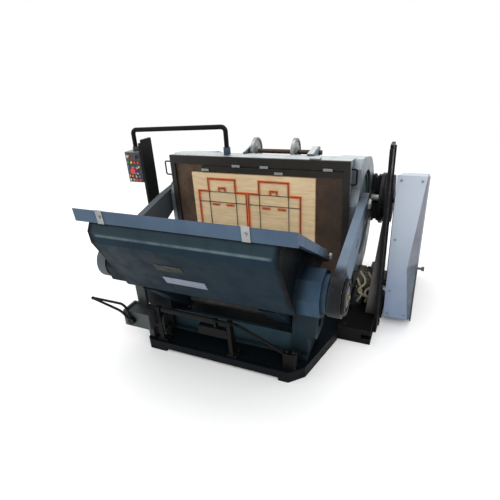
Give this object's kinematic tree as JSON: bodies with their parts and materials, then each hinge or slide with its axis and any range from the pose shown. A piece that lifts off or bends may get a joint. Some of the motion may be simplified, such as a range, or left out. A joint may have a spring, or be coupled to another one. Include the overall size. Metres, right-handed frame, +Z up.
{
  "type": "platen die cutting press",
  "caption": "Clamshell platen die-cutting and creasing press with an upright bed and chase, a swinging platen, crank-driven connecting rods, guarded flywheel and control arm.",
  "frame": {"origin": "on the underside of the base, on the centre plane, directly below the bed's working face", "axes": "+X to the operator's right, +Y to the back, +Z up"},
  "size_m": [2.389, 2.0859, 1.507],
  "materials": {
    "blue_enamel": "semi-gloss machine enamel",
    "dark_enamel": "semi-gloss dark machine enamel",
    "pale_enamel": "pale machine enamel",
    "base_enamel": "oily dark enamel",
    "black_steel": "black oxide and paint",
    "guard_sheet": "light grey sheet",
    "iron": "machined cast iron, oiled",
    "bright_steel": "turned steel",
    "brown_plate": "steel browned by ink and rust",
    "birch_ply": "birch plywood",
    "red_rubber": "orange ejection rubber",
    "belt_rubber": "matt",
    "box_paint": "grey enamel",
    "white_plastic": "gloss",
    "green_plastic": "gloss",
    "yellow_plastic": "gloss",
    "red_plastic": "gloss",
    "blue_plastic": "gloss",
    "lamp_plastic": "gloss",
    "motor_paint": "cream enamel",
    "blank_plate": "blank satin plate"
  },
  "bodies": {
    "frame": {"base_casting": "base_enamel", "front_tie_panel": "dark_enamel", "pedestals": "dark_enamel", "bed_block": "pale_enamel", "left_side_frame": "pale_enamel", "right_side_frame": "pale_enamel", "rear_cross_beam": "dark_enamel", "chase_frame": "black_steel", "bed_plate": "brown_plate", "die_board": "birch_ply", "cutting_rules": "bright_steel", "ejection_rubber": "red_rubber", "chase_clamps": "bright_steel", "side_handles": "black_steel", "outriggers": "black_steel", "columns": "black_steel", "motor_base": "black_steel", "motor_body": "motor_paint", "motor_fan_cover": "motor_paint", "flywheel_guard": "guard_sheet", "guard_outer_cover": "guard_sheet", "bearing_stand": "dark_enamel", "v_belts": "belt_rubber", "reel_brackets": "pale_enamel", "control_post": "blue_enamel", "lever_box": "base_enamel", "shaft_brackets": "black_steel", "stay_rod": "black_steel", "frame_bolts": "bright_steel"},
    "platen": {"platen_casting": "dark_enamel", "platen_face_plate": "bright_steel", "hinge_shaft": "bright_steel", "trunnion_pins": "bright_steel", "trunnion_caps": "bright_steel", "name_plates": "blank_plate", "bar_pivot_pins": "bright_steel"},
    "guard_bar": {"safety_bar": "blue_enamel", "bar_clips": "bright_steel"},
    "rods": {"left_connecting_rod": "blue_enamel", "right_connecting_rod": "blue_enamel", "crank_pins": "bright_steel"},
    "gears": {"left_bull_gear": "iron", "right_bull_gear": "iron"},
    "shaft": {"drive_shaft": "bright_steel", "drive_pinions": "iron", "clutch_drum": "iron"},
    "wheel": {"flywheel": "iron"},
    "pulley": {"motor_pulley": "iron"},
    "reel": {"reel_shaft": "brown_plate", "reel_flanges": "pale_enamel"},
    "arm": {"control_arm": "black_steel"},
    "panel": {"control_box": "box_paint", "indicator_lamps": "lamp_plastic"},
    "e_stop": {"e_stop_button": "red_plastic"},
    "start": {"start_button": "green_plastic"},
    "inch": {"inch_button": "yellow_plastic"},
    "stop": {"stop_button": "red_plastic"},
    "selector": {"selector_knob": "blue_plastic"},
    "lever": {"throw_off_lever": "black_steel"},
    "cross": {"cross_shaft": "black_steel"}
  },
  "joints": [
    {"name": "platen_swing", "type": "hinge", "parent": "frame", "child": "platen", "pos_m": [0, -0.474, 0.32], "axis": [-1, 0, 0], "range_deg": [0, 59]},
    {"name": "guard_bar_push", "type": "hinge", "parent": "platen", "child": "guard_bar", "pos_m": [0, -0.43494, 0.78885], "axis": [1, 0, 0], "range_deg": [0, 1.5], "stiffness_Nm_per_rad": 2000, "springref_deg": -11.46},
    {"name": "rod_swing", "type": "hinge", "parent": "platen", "child": "rods", "pos_m": [0, -0.7401, 0.70038], "axis": [-1, 0, 0], "range_deg": [-49, 0]},
    {"name": "gear_turn", "type": "hinge", "parent": "frame", "child": "gears", "pos_m": [0, 0.37, 0.8], "axis": [-1, 0, 0], "range_deg": [0, 141]},
    {"name": "shaft_turn", "type": "hinge", "parent": "frame", "child": "shaft", "pos_m": [0, 0.769, 0.8], "axis": [1, 0, 0], "range_deg": [0, 846]},
    {"name": "flywheel_spin", "type": "hinge", "parent": "frame", "child": "wheel", "pos_m": [1.105, 0.769, 0.8], "axis": [1, 0, 0], "continuous": true},
    {"name": "motor_spin", "type": "hinge", "parent": "frame", "child": "pulley", "pos_m": [1, 0.3, 0.235], "axis": [1, 0, 0], "continuous": true},
    {"name": "reel_spin", "type": "hinge", "parent": "frame", "child": "reel", "pos_m": [0.1, 0.378, 1.254], "axis": [1, 0, 0], "continuous": true},
    {"name": "arm_swivel", "type": "hinge", "parent": "frame", "child": "arm", "pos_m": [-0.24, 0.07, 1.34], "axis": [0, 0, 1], "range_deg": [-20, 25]},
    {"name": "box_swivel", "type": "hinge", "parent": "arm", "child": "panel", "pos_m": [-1.068, 0.03, 1.334], "axis": [0, 0, 1], "range_deg": [-12, 12]},
    {"name": "start_press", "type": "slide", "parent": "panel", "child": "start", "axis": [0, 1, 0], "range_m": [0, 0.004], "stiffness_N_per_m": 400, "springref_m": -0.002},
    {"name": "inch_press", "type": "slide", "parent": "panel", "child": "inch", "axis": [0, 1, 0], "range_m": [0, 0.004], "stiffness_N_per_m": 400, "springref_m": -0.002},
    {"name": "stop_press", "type": "slide", "parent": "panel", "child": "stop", "axis": [0, 1, 0], "range_m": [0, 0.004], "stiffness_N_per_m": 400, "springref_m": -0.002},
    {"name": "e_stop_press", "type": "slide", "parent": "panel", "child": "e_stop", "axis": [0, 1, 0], "range_m": [0, 0.006], "stiffness_N_per_m": 400, "springref_m": -0.002},
    {"name": "selector_turn", "type": "hinge", "parent": "panel", "child": "selector", "pos_m": [-1.026, -0.035, 1.263], "axis": [0, -1, 0], "range_deg": [0, 90]},
    {"name": "lever_throw", "type": "hinge", "parent": "frame", "child": "lever", "pos_m": [-0.66, -0.8, 0.262], "axis": [0, 1, 0], "range_deg": [-12, 10]},
    {"name": "cross_shaft_turn", "type": "hinge", "parent": "frame", "child": "cross", "pos_m": [0, -0.75, 0.352], "axis": [1, 0, 0], "range_deg": [-12, 12]}
  ],
  "couplings": [
    {"joint": "rod_swing", "follows": "platen_swing", "ratio": -0.81727},
    {"joint": "gear_turn", "follows": "platen_swing", "ratio": 2.3864},
    {"joint": "shaft_turn", "follows": "platen_swing", "ratio": 14.319},
    {"joint": "motor_spin", "follows": "flywheel_spin", "ratio": 4.4444},
    {"joint": "cross_shaft_turn", "follows": "lever_throw", "ratio": 1}
  ]
}
